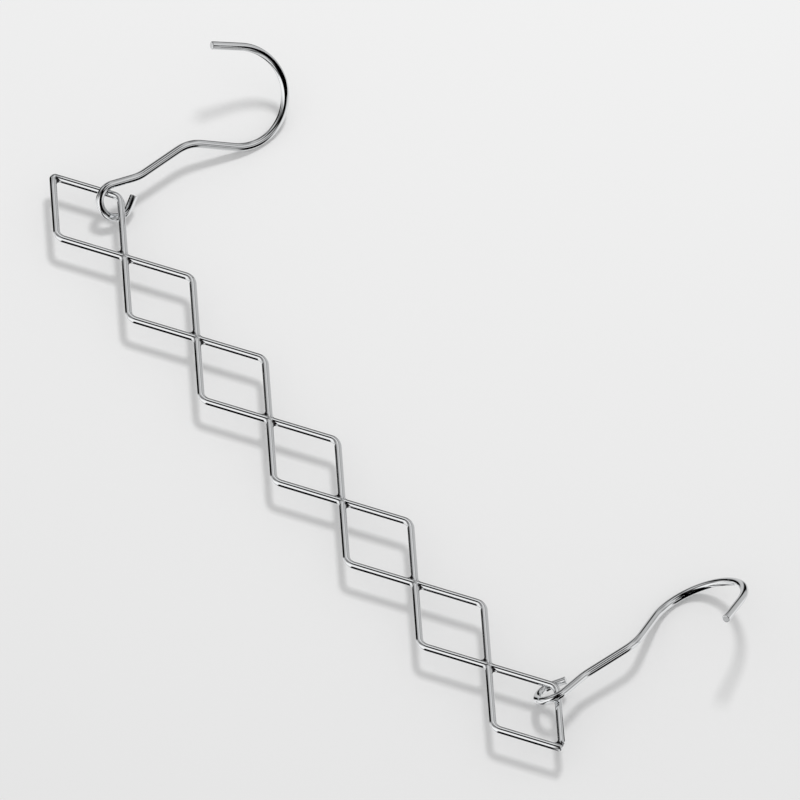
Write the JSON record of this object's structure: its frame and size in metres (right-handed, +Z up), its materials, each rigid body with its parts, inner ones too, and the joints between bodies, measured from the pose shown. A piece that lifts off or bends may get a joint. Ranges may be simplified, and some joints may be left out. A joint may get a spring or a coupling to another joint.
{
  "type": "multi-hole clothes hanger",
  "caption": "Plated wire hanger: a row of welded diamond cells that coat hangers hook into, with a loosely threaded swivelling rod hook near each end",
  "frame": {"origin": "Bottom centre of the bounding box, on the surface that the hanger lies on", "axes": "+X along the row of cells, +Y towards the hooks, +Z up from the surface"},
  "size_m": [0.356, 0.1236, 0.0333],
  "materials": {
    "plated_wire": "bright plated steel wire",
    "plated_hook_wire": "bright plated steel wire",
    "weld": "plated weld"
  },
  "bodies": {
    "frame": {"zigzag_wire_upper": "plated_wire", "zigzag_wire_lower": "plated_wire", "cross_weld_1": "weld", "cross_weld_2": "weld", "cross_weld_3": "weld", "cross_weld_4": "weld", "cross_weld_5": "weld", "cross_weld_6": "weld", "end_weld_left": "weld", "end_weld_right": "weld"},
    "left_hook": {"hook_left": "plated_hook_wire"},
    "right_hook": {"hook_right": "plated_hook_wire"}
  },
  "joints": [
    {"name": "left_hook_swivel", "type": "hinge", "parent": "frame", "child": "left_hook", "pos_m": [-0.15036, -0.02802, 0.01033], "axis": [0, 1, 0], "range_deg": [0, 100]},
    {"name": "right_hook_swivel", "type": "hinge", "parent": "frame", "child": "right_hook", "pos_m": [0.15036, -0.02802, 0.01033], "axis": [0, -1, 0], "range_deg": [0, 100]}
  ]
}
